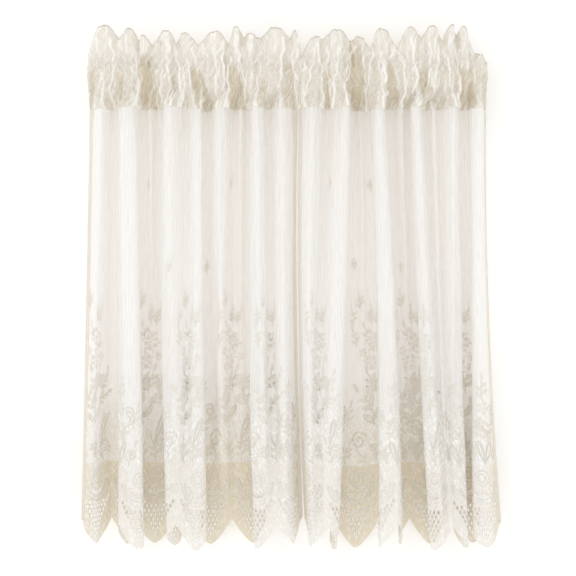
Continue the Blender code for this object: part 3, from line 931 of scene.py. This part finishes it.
def make_side_hems(curtain, lace, material):
    """The two doubled side hems of one curtain."""
    flat, proud, faces = [], [], []
    low = scallop_edge(0.0)
    heights = np.linspace(NET_TOP, low, 130)
    for edge in (0.0, CUT_WIDTH - HEM_WIDTH):
        first = len(flat)
        section = [(0.05, 0.1), (0.6, 0.55), (HEM_WIDTH / 2, 0.5), (HEM_WIDTH - 0.6, 0.55), (HEM_WIDTH, 0.1)]
        section += [(HEM_WIDTH - 0.6, -0.45), (0.6, -0.45)]
        size = len(section)
        for z in heights:
            flat.extend((min(edge + s, CUT_WIDTH), z) for s, _ in section)
            proud.extend(p for _, p in section)
        for r in range(len(heights) - 1):
            for k in range(size):
                a, b = first + r * size + k, first + r * size + (k + 1) % size
                faces.append((a, a + size, b + size, b))
        faces.append(tuple(first + k for k in range(size)))
        last = first + (len(heights) - 1) * size
        faces.append(tuple(last + k for k in reversed(range(size))))
    flat = np.array(flat)
    points = lace.place(flat[:, 0], flat[:, 1], np.array(proud))
    # The doubled hems are deeper in colour all along, and also take the lace's painted shade in the folds
    values = {"trough": 0.6 + 0.4 * lace.trough(flat[:, 0], flat[:, 1]), "cord": np.full(len(flat), 0.25)}
    return new_object(curtain.name + "_side_hems", points, faces, material, flat, values)


# Distance between two stitches, and a stitch's length and thickness
SEAM_STITCHES = {"Pitch": 3.4, "Length": 2.0, "Thickness": 0.36}
HEM_STITCHES = {"Pitch": 3.2, "Length": 2.2, "Thickness": 0.4}


def stitch_tree(material):
    """Geometry nodes that lay one short round stitch at each even step along every line of a mesh."""
    tree = bpy.data.node_groups.new("stitches", "GeometryNodeTree")
    tree.interface.new_socket("Geometry", in_out="INPUT", socket_type="NodeSocketGeometry")
    for name in SEAM_STITCHES:
        tree.interface.new_socket(name, in_out="INPUT", socket_type="NodeSocketFloat")
    tree.interface.new_socket("Geometry", in_out="OUTPUT", socket_type="NodeSocketGeometry")
    add, link = tree.nodes.new, tree.links.new
    given, result = add("NodeGroupInput"), add("NodeGroupOutput")
    curve = add("GeometryNodeMeshToCurve")
    link(given.outputs["Geometry"], curve.inputs["Mesh"])
    spaced = add("GeometryNodeResampleCurve")
    spaced.mode = "LENGTH"
    link(curve.outputs["Curve"], spaced.inputs["Curve"])
    link(given.outputs["Pitch"], spaced.inputs["Length"])
    thread = add("GeometryNodeMeshUVSphere")
    thread.inputs["Segments"].default_value = 6
    thread.inputs["Rings"].default_value = 4
    thread.inputs["Radius"].default_value = 0.5
    size = add("ShaderNodeCombineXYZ")
    link(given.outputs["Thickness"], size.inputs["X"])
    link(given.outputs["Thickness"], size.inputs["Y"])
    link(given.outputs["Length"], size.inputs["Z"])
    tangent = add("GeometryNodeInputTangent")
    align = add("FunctionNodeAlignRotationToVector")
    align.axis = "Z"
    link(tangent.outputs["Tangent"], align.inputs["Vector"])
    laid = add("GeometryNodeInstanceOnPoints")
    link(spaced.outputs["Curve"], laid.inputs["Points"])
    link(thread.outputs["Mesh"], laid.inputs["Instance"])
    link(align.outputs["Rotation"], laid.inputs["Rotation"])
    link(size.outputs["Vector"], laid.inputs["Scale"])
    real = add("GeometryNodeRealizeInstances")
    link(laid.outputs["Instances"], real.inputs["Geometry"])
    cloth = add("GeometryNodeSetMaterial")
    cloth.inputs["Material"].default_value = material
    link(real.outputs["Geometry"], cloth.inputs["Geometry"])
    link(cloth.outputs["Geometry"], result.inputs["Geometry"])
    return tree


def sew(name, lines, material, sizes):
    """Stitches along lines in space, as one plain mesh."""
    mesh = bpy.data.meshes.new(name + "_lines")
    points, edges = [], []
    for line in lines:
        first = len(points)
        points.extend((np.asarray(line) * MM).tolist())
        edges.extend((first + k, first + k + 1) for k in range(len(line) - 1))
    mesh.from_pydata(points, edges, [])
    guide = bpy.data.objects.new(name + "_lines", mesh)
    bpy.context.scene.collection.objects.link(guide)
    modifier = guide.modifiers.new("stitches", "NODES")
    modifier.node_group = stitch_tree(material)
    for item in modifier.node_group.interface.items_tree:
        if item.in_out == "INPUT" and item.name in sizes:
            modifier[item.identifier] = sizes[item.name] * MM
    bpy.context.view_layer.update()
    evaluated = guide.evaluated_get(bpy.context.evaluated_depsgraph_get())
    made = bpy.data.meshes.new_from_object(evaluated)
    made.name = name
    made.shade_smooth()
    thing = bpy.data.objects.new(name, made)
    bpy.context.scene.collection.objects.link(thing)
    bpy.data.objects.remove(guide)
    return thing


class Socket:
    """A value in a material's nodes, so that shader maths reads as an expression."""

    def __init__(self, cloth, link):
        self.cloth = cloth
        self.link = link

    def math(self, operation, *others):
        sockets = {k: value for k, value in enumerate((self,) + others)}
        return self.cloth.node("ShaderNodeMath", {"operation": operation}, sockets)

    def __add__(self, other):
        return self.math("ADD", other)

    def __sub__(self, other):
        return self.math("SUBTRACT", other)

    def __rsub__(self, other):
        return self.math("MULTIPLY_ADD", -1.0, other)

    def __mul__(self, other):
        return self.math("MULTIPLY", other)

    def __truediv__(self, other):
        return self.math("DIVIDE", other)

    def __pow__(self, other):
        return self.math("POWER", other)

    __radd__ = __add__
    __rmul__ = __mul__

    def sine(self):
        return self.math("SINE")

    def least(self, other):
        return self.math("MINIMUM", other)

    def most(self, other):
        return self.math("MAXIMUM", other)

    def part(self):
        return self.math("FRACT")

    def rise(self, low, high):
        """0 below low, 1 above high and a smooth rise between them."""
        settings = {"interpolation_type": "SMOOTHSTEP"}
        sockets = {"Value": self, "From Min": low, "From Max": high}
        return self.cloth.node("ShaderNodeMapRange", settings, sockets)


class Cloth:
    """A cloth material that is put together from nodes."""

    def __init__(self, name, roughness, sheen, painted_glow):
        self.material = bpy.data.materials.new(name)
        self.material.use_nodes = True
        self.tree = self.material.node_tree
        self.shader = self.tree.nodes["Principled BSDF"]
        self.shader.inputs["Roughness"].default_value = roughness
        self.shader.inputs["Sheen Weight"].default_value = sheen
        self.shader.inputs["Specular IOR Level"].default_value = 0.25
        # A faint emission in the cloth's own colour: a painted glow that stands in for light coming through
        # the cloth
        self.shader.inputs["Emission Strength"].default_value = painted_glow
        place = self.node("ShaderNodeUVMap", {"uv_map": "flat"})
        parts = self.node("ShaderNodeSeparateXYZ", {}, {"Vector": place}).link.node
        self.flat = place
        self.across = Socket(self, parts.outputs["X"]) * 1000.0
        self.height = Socket(self, parts.outputs["Y"]) * 1000.0

    def node(self, kind, settings=None, sockets=None, output=0):
        made = self.tree.nodes.new(kind)
        for key, value in (settings or {}).items():
            setattr(made, key, value)
        for key, value in (sockets or {}).items():
            if isinstance(value, Socket):
                self.tree.links.new(value.link, made.inputs[key])
            else:
                made.inputs[key].default_value = value
        return Socket(self, made.outputs[output])

    def attribute(self, name):
        made = self.node("ShaderNodeAttribute", {"attribute_name": name})
        return Socket(self, made.link.node.outputs["Fac"])

    def noise(self, scale, detail=2.0, stretch=(1.0, 1.0, 1.0)):
        """Soft irregular noise on the flat cloth, between 0 and 1."""
        mapped = self.node("ShaderNodeMapping", {}, {"Vector": self.flat, "Scale": stretch})
        return self.node("ShaderNodeTexNoise", {}, {"Vector": mapped, "Scale": scale, "Detail": detail})

    def strokes(self, lean, scale):
        """Short soft strokes that lean to one side, between 0 and 1."""
        sockets = {"Vector": self.flat, "Rotation": (0.0, 0.0, lean), "Scale": (1.0, 5.0, 1.0)}
        turned = self.node("ShaderNodeMapping", {"vector_type": "TEXTURE"}, sockets)
        noise = self.node("ShaderNodeTexNoise", {}, {"Vector": turned, "Scale": scale, "Detail": 1.0})
        return noise.rise(0.55, 0.63)

    def blend(self, factor, first, second):
        """A colour between two others."""
        made = self.node("ShaderNodeMix", {"data_type": "RGBA"}, {"Factor": factor})
        mix = made.link.node
        for socket, value in ((mix.inputs[6], first), (mix.inputs[7], second)):
            if isinstance(value, Socket):
                self.tree.links.new(value.link, socket)
            else:
                socket.default_value = tuple(value) + (1.0,)
        return Socket(self, mix.outputs[2])

    def use(self, socket, value):
        self.tree.links.new(value.link, self.shader.inputs[socket])

    def colour(self, value):
        """The cloth's colour, which its painted glow, standing in for light from behind, takes too."""
        self.use("Base Color", value)
        self.use("Emission Color", value)

    def bump(self, height, strength, distance):
        sockets = {"Height": height, "Strength": strength, "Distance": distance}
        self.use("Normal", self.node("ShaderNodeBump", {}, sockets))


def net_material(settings):
    """Sheer net with upright threads, solid in the band and the border."""
    # The last number is the strength of the cloth's painted glow
    cloth = Cloth("sheer_net", 0.9, 0.15, 0.038)
    trough = cloth.attribute("trough")
    solid = cloth.height.rise(BAND_TOP + 1.2, BAND_TOP - 1.2)
    threads = (cloth.across * (2 * np.pi / settings.net_pitch)).sine()
    crossing = ((cloth.height * 0.5 + cloth.across * 0.5) * (2 * np.pi / settings.net_pitch)).sine()
    mesh = (threads * 0.5 + 0.5) * 0.6 + (crossing * 0.5 + 0.5) * 0.4
    streaks = cloth.noise(60.0, 3.0, (6.0, 0.35, 1.0))
    cover = settings.net_cover + (mesh - 0.5) * 0.35 + (streaks - 0.5) * 0.35
    aside = ((cloth.across / SCALLOP_WIDTH).part() - 0.5) * SCALLOP_WIDTH
    below = cloth.height - MEDALLION_Z
    ring = ((aside / MEDALLION_HALF) ** 2.0 + (below / (MEDALLION_HALF + 4.0)) ** 2.0) ** 0.5
    window = ring.rise(0.66, 0.72) * ring.rise(0.95, 0.89) * below.rise(-8.0, -12.0)
    dense = cloth.height.rise(DENSE_TOP, DENSE_LOW)
    strokes = cloth.strokes(0.5, 400.0).most(cloth.strokes(-0.35, 360.0))
    grain = cloth.noise(420.0, 2.0)
    thick = cover + dense * (0.12 + strokes * 0.25)
    cloth.use("Alpha", thick.least(1.0) * (1 - solid) + solid * (0.86 - 0.25 * window))
    # pale is the net's and the border's own colour where the cloth comes forward, deep is the same cloth in
    # painted shade where it goes back into the folds, and ground blends them
    pale = cloth.blend(solid, settings.crest_colour, settings.border_crest_colour)
    deep = cloth.blend(solid, settings.trough_colour, settings.border_shade_colour)
    ground = cloth.blend(trough, pale, deep)
    # The dense net near the border is deeper in colour, and more so in the folds as painted shade
    closed = dense * (1 - solid) * (trough * 0.5 + 0.35)
    warm = cloth.blend(trough * 0.25, settings.border_crest_colour, settings.border_shade_colour)
    shaded = cloth.blend(closed, ground, warm)
    speckled = cloth.blend(grain.rise(0.35, 0.75) * solid * 0.30, shaded, settings.flower_shade_colour)
    # The pale strokes of the dense net fade where it goes back into the folds, as painted shade
    stroked = cloth.blend(strokes * dense * (1.0 - trough * 0.55), speckled, settings.cord_colour)
    cloth.colour(stroked)
    weave = mesh * 0.3 + streaks * 0.5 + strokes * dense * 1.3 + grain * solid * 0.4
    cloth.bump(weave, 0.5, 0.0010)
    return cloth.material


def raised_material(settings):
    """The thicker threads of the raised flowers, paler on the cords along their edges."""
    # The last number is the strength of the cloth's painted glow
    cloth = Cloth("raised_thread", 0.85, 0.2, 0.07)
    cloth.shader.inputs["Alpha"].default_value = 0.68
    trough = cloth.attribute("trough")
    cord = cloth.attribute("cord")
    grain = cloth.noise(900.0, 2.0)
    # The flowers' fill and their pale cords darken where the cloth goes back into the folds: painted shade
    fill = cloth.blend(trough, settings.motif_crest_colour, settings.flower_shade_colour)
    flecked = cloth.blend(grain.rise(0.35, 0.75) * 0.2, fill, settings.border_shade_colour)
    pale = cloth.blend(trough, settings.cord_colour, settings.crest_colour)
    cloth.colour(cloth.blend(cord, flecked, pale))
    cloth.bump(grain, 0.4, 0.0005)
    return cloth.material


def heading_material(settings):
    """Doubled and crinkled cloth, deeper in colour between its gathers as painted shade, and paler on their
    ridges as painted highlights.
    """
    # The last number is the strength of the cloth's painted glow
    cloth = Cloth("doubled_cloth", 0.88, 0.2, 0.09)
    crest = cloth.attribute("crest")
    hollow = cloth.attribute("hollow")
    streaks = cloth.noise(90.0, 3.0, (5.0, 0.8, 1.0))
    flecks = cloth.noise(230.0, 3.0, (1.0, 0.7, 1.0))
    # deep is the painted shade between the gathers, with the deeper colour along the ruffle's top edge and
    # random flecks
    deep = (hollow + 0.1 + (flecks - 0.5) * 2.0).most(0.0).least(1.0)
    tone = cloth.blend(deep, settings.heading_colour, settings.heading_shade_colour)
    # The gathers' ridges, creases and pleats take painted highlights
    cloth.colour(cloth.blend(crest, tone, settings.heading_highlight_colour))
    cloth.use("Alpha", (0.88 + (streaks - 0.5) * 0.3).least(1.0))
    cloth.bump(streaks, 0.35, 0.0008)
    return cloth.material


def thread_material(settings):
    """Sewing thread of the seams."""
    # The last number is the strength of the thread's painted glow
    cloth = Cloth("sewing_thread", 0.6, 0.1, 0.09)
    place = cloth.node("ShaderNodeTexCoord", output=3)
    twist = cloth.node("ShaderNodeTexNoise", {}, {"Vector": place, "Scale": 1500.0})
    cloth.colour(cloth.blend(twist, settings.heading_highlight_colour, settings.heading_colour))
    return cloth.material


def tint(name, text, value):
    """A colour that a user may change."""
    return bpy.props.FloatVectorProperty(
        name=name, description=text, default=value, size=3, min=0.0, max=1.0, subtype="COLOR"
    )


class CurtainSettings(bpy.types.PropertyGroup):
    """Sizes and colours of the curtains, and the light on them."""

    net_pitch: bpy.props.FloatProperty(
        name="Net pitch", description="Distance between the net's upright threads in millimetres",
        default=1.9, min=0.5,
    )
    net_cover: bpy.props.FloatProperty(
        name="Net cover", description="Share of the net that its threads fill",
        default=0.66, min=0.1, max=1.0, subtype="FACTOR",
    )
    ripple: bpy.props.FloatProperty(
        name="Ripple", description="Height of the small ripples in millimetres", default=1.5, min=0.0
    )
    relief: bpy.props.FloatProperty(
        name="Relief", description="Height of the raised flowers in millimetres", default=0.85, min=0.1
    )
    # The colours on crests are each cloth's own colour. Those in troughs are the same cloth in painted shade,
    # where it goes back into the folds
    crest_colour: tint("Net on crests", "Net where it comes forward", (0.898, 0.891, 0.879))
    trough_colour: tint("Net in troughs", "Net where it goes back", (0.87, 0.84, 0.808))
    border_crest_colour: tint("Border on crests", "Border where it comes forward", (0.86, 0.831, 0.787))
    border_shade_colour: tint("Border in troughs", "Border where it goes back", (0.74, 0.659, 0.5))
    motif_crest_colour: tint("Flowers on crests", "Flowers on the folds' crests", (0.85, 0.822, 0.768))
    flower_shade_colour: tint("Flowers in troughs", "Flowers between the folds", (0.818, 0.762, 0.67))
    cord_colour: tint("Cords", "Raised cords round the flowers", (0.94, 0.932, 0.915))
    heading_colour: tint("Heading", "Doubled cloth of the heading", (0.765, 0.728, 0.664))
    heading_shade_colour: tint("Heading's hollows", "Flat places between gathers", (0.615, 0.545, 0.415))
    heading_highlight_colour: tint("Heading's gathers", "Ridges of the gathers", (0.94, 0.928, 0.903))
    light: bpy.props.FloatProperty(
        name="Key light", description="Power of the key light", default=3.6, min=0.0, unit="POWER"
    )
    ambient: bpy.props.FloatProperty(
        name="Ambient light", description="Strength of the even light from all round", default=0.96, min=0.0
    )
    wall_gap: bpy.props.FloatProperty(
        name="Gap to backdrop", description="Distance from the rod's line to the backdrop",
        default=0.046, min=0.04, unit="LENGTH",
    )


def settings_of(context):
    return context.scene.lace_curtains


WORK = {"laces": {}, "nets": {}, "extras": {"left": [], "right": []}, "materials": {}}


def laces(context):
    """The hung laces of both curtains, worked out once."""
    if not WORK["laces"]:
        for curtain in CURTAINS:
            WORK["laces"][curtain.name] = HungLace(curtain, settings_of(context).ripple)
    return WORK["laces"]


def material(name, context):
    """A shared material, made when it is first asked for."""
    makers = {
        "net": net_material, "raised": raised_material, "heading": heading_material, "thread": thread_material
    }
    if name not in WORK["materials"]:
        WORK["materials"][name] = makers[name](settings_of(context))
    return WORK["materials"][name]


class CURTAIN_OT_nets(bpy.types.Operator):
    """Build the sheer net of both curtains on its folds"""

    bl_idname = "curtain.nets"
    bl_label = "Nets"

    def execute(self, context):
        flat, faces = flat_net()
        for curtain in CURTAINS:
            net = make_net(curtain, laces(context)[curtain.name], material("net", context), flat, faces)
            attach(net, "root")
            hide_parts(curtain.name + "_lace")
            WORK["nets"][curtain.name] = net
        return {"FINISHED"}


class CURTAIN_OT_flowers(bpy.types.Operator):
    """Build the raised flower sprays and the border's cords"""

    bl_idname = "curtain.flowers"
    bl_label = "Flowers and border"

    def execute(self, context):
        for curtain in CURTAINS:
            for name, build in (("_sprays", raise_sprays), ("_border", raise_border)):
                relief = Relief(laces(context)[curtain.name], settings_of(context).relief)
                build(relief, curtain.name)
                piece = relief.finish(curtain.name + name, material("raised", context))
                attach(piece, "root")
                WORK["extras"][curtain.name].append(piece)
        return {"FINISHED"}


class CURTAIN_OT_side_hems(bpy.types.Operator):
    """Build the doubled side hems and their stitches"""

    bl_idname = "curtain.side_hems"
    bl_label = "Side hems"

    def execute(self, context):
        for curtain in CURTAINS:
            lace = laces(context)[curtain.name]
            hems = make_side_hems(curtain, lace, material("raised", context))
            heights = np.linspace(HEADING_LOW, scallop_edge(0.0) + 2, 200)
            lines = [
                lace.place(np.full(len(heights), across), heights, 0.6)
                for across in (HEM_WIDTH - 1.2, CUT_WIDTH - HEM_WIDTH + 1.2)
            ]
            thread = material("thread", context)
            stitches = sew(curtain.name + "_hem_stitches", lines, thread, HEM_STITCHES)
            for piece in (hems, stitches):
                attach(piece, "root")
                WORK["extras"][curtain.name].append(piece)
        return {"FINISHED"}


class CURTAIN_OT_headings(bpy.types.Operator):
    """Build the gathered headings with their pockets, ruffles and seams"""

    bl_idname = "curtain.headings"
    bl_label = "Headings"

    def execute(self, context):
        for curtain in CURTAINS:
            lace = laces(context)[curtain.name]
            heading = make_heading(curtain, lace, material("heading", context))
            walls, _ = heading_grid(curtain, lace)
            lines = []
            for sign, (grid, _) in zip((-1.0, 1.0), walls):
                for row in (RUFFLE_ROWS, RUFFLE_ROWS + POCKET_ROWS):
                    lines.append(grid[row] + np.array((0.0, sign * 0.05, 0.0)))
            thread = material("thread", context)
            stitches = sew(curtain.name + "_seam_stitches", lines, thread, SEAM_STITCHES)
            for piece in (heading, stitches):
                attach(piece, "root")
            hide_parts(curtain.name + "_heading")
        return {"FINISHED"}


class CURTAIN_OT_stage(bpy.types.Operator):
    """Set up the pale floor, the backdrop, the light and the camera"""

    bl_idname = "curtain.stage"
    bl_label = "Stage"

    CAMERA_AT = (-0.0035, -2.2, -0.3745)
    FRAME_WIDTH = 1.0126
    SENSOR = 36.0
    AMBIENT_TINT = (1.0, 0.99, 0.967, 1.0)
    KEY_AT = (-1.1, -2.1, 0.5)
    KEY_TOWARDS = (0.0, 0.0, -0.4)
    KEY_SIZE = (1.2, 1.6)
    FLOOR_Z = -1.15
    FLOOR_REACH = 4.0
    BACKDROP_REACH = 1.6
    BACKDROP_TOP = 1.0

    def execute(self, context):
        settings = settings_of(context)
        scene = context.scene
        scene.view_settings.view_transform = "Standard"
        scene.cycles.transparent_max_bounces = 48
        scene.cycles.diffuse_bounces = 9
        camera = bpy.data.objects.new("camera", bpy.data.cameras.new("camera"))
        camera.data.sensor_width = self.SENSOR
        camera.data.lens = self.SENSOR * -self.CAMERA_AT[1] / self.FRAME_WIDTH
        camera.location = self.CAMERA_AT
        camera.rotation_euler = (np.pi / 2, 0.0, 0.0)
        scene.collection.objects.link(camera)
        scene.camera = camera
        world = bpy.data.worlds.new("soft_light")
        world.use_nodes = True
        background = world.node_tree.nodes["Background"]
        background.inputs["Strength"].default_value = settings.ambient
        background.inputs["Color"].default_value = self.AMBIENT_TINT
        scene.world = world
        key = bpy.data.objects.new("key_light", bpy.data.lights.new("key_light", "AREA"))
        key.data.shape = "RECTANGLE"
        key.data.size, key.data.size_y = self.KEY_SIZE
        key.data.energy = settings.light
        key.location = self.KEY_AT
        towards = Vector(self.KEY_TOWARDS) - key.location
        key.rotation_euler = towards.to_track_quat("-Z", "Y").to_euler()
        scene.collection.objects.link(key)
        self.surfaces(settings)
        return {"FINISHED"}

    def surfaces(self, settings):
        """The floor far below the hem, and a backdrop whose back lets the light and the view through."""
        far, low = self.FLOOR_REACH, self.FLOOR_Z
        floor = self.plane("floor", [(-far, -far, low), (far, -far, low), (far, far, low), (-far, far, low)])
        aside, top, gap = self.BACKDROP_REACH, self.BACKDROP_TOP, settings.wall_gap
        corners = [(-aside, gap, low), (aside, gap, low), (aside, gap, top), (-aside, gap, top)]
        backdrop = self.plane("backdrop", corners)
        for surface, one_sided in ((floor, False), (backdrop, True)):
            surface.data.materials.append(self.pale(surface.name, one_sided))

    @staticmethod
    def plane(name, corners):
        mesh = bpy.data.meshes.new(name)
        mesh.from_pydata(corners, [], [(0, 1, 2, 3)])
        surface = bpy.data.objects.new(name, mesh)
        bpy.context.scene.collection.objects.link(surface)
        return surface

    @staticmethod
    def pale(name, one_sided):
        """Matt white that stays clear of grey, and is see-through from its back where it is one-sided."""
        made = bpy.data.materials.new(name + "_white")
        made.use_nodes = True
        tree = made.node_tree
        shader = tree.nodes["Principled BSDF"]
        shader.inputs["Base Color"].default_value = (0.96, 0.96, 0.96, 1.0)
        shader.inputs["Roughness"].default_value = 1.0
        shader.inputs["Specular IOR Level"].default_value = 0.0
        shader.inputs["Emission Color"].default_value = (1.0, 1.0, 1.0, 1.0)
        shader.inputs["Emission Strength"].default_value = 0.105
        if one_sided:
            facing = tree.nodes.new("ShaderNodeNewGeometry")
            clear = tree.nodes.new("ShaderNodeBsdfTransparent")
            mix = tree.nodes.new("ShaderNodeMixShader")
            tree.links.new(facing.outputs["Backfacing"], mix.inputs["Fac"])
            tree.links.new(shader.outputs["BSDF"], mix.inputs[1])
            tree.links.new(clear.outputs["BSDF"], mix.inputs[2])
            tree.links.new(mix.outputs["Shader"], tree.nodes["Material Output"].inputs["Surface"])
        return made


STEPS = (CURTAIN_OT_nets, CURTAIN_OT_flowers, CURTAIN_OT_side_hems, CURTAIN_OT_headings, CURTAIN_OT_stage)


class CURTAIN_PT_panel(bpy.types.Panel):
    """The curtains' settings and the steps that build them"""

    bl_idname = "CURTAIN_PT_panel"
    bl_label = "Lace curtains"
    bl_space_type = "VIEW_3D"
    bl_region_type = "UI"
    bl_category = "Curtain"

    def draw(self, context):
        column = self.layout.column()
        for name in CurtainSettings.__annotations__:
            column.prop(settings_of(context), name)
        for step in STEPS:
            column.operator(step.bl_idname)


CLASSES = (CurtainSettings,) + STEPS + (CURTAIN_PT_panel,)


def register():
    for item in CLASSES:
        bpy.utils.register_class(item)
    bpy.types.Scene.lace_curtains = bpy.props.PointerProperty(type=CurtainSettings)


def unregister():
    del bpy.types.Scene.lace_curtains
    for item in reversed(CLASSES):
        bpy.utils.unregister_class(item)


def main():
    register()
    bpy.ops.curtain.nets()
    bpy.ops.curtain.flowers()
    bpy.ops.curtain.side_hems()
    bpy.ops.curtain.headings()
    bpy.ops.curtain.stage()


if __name__ == "__main__":
    main()
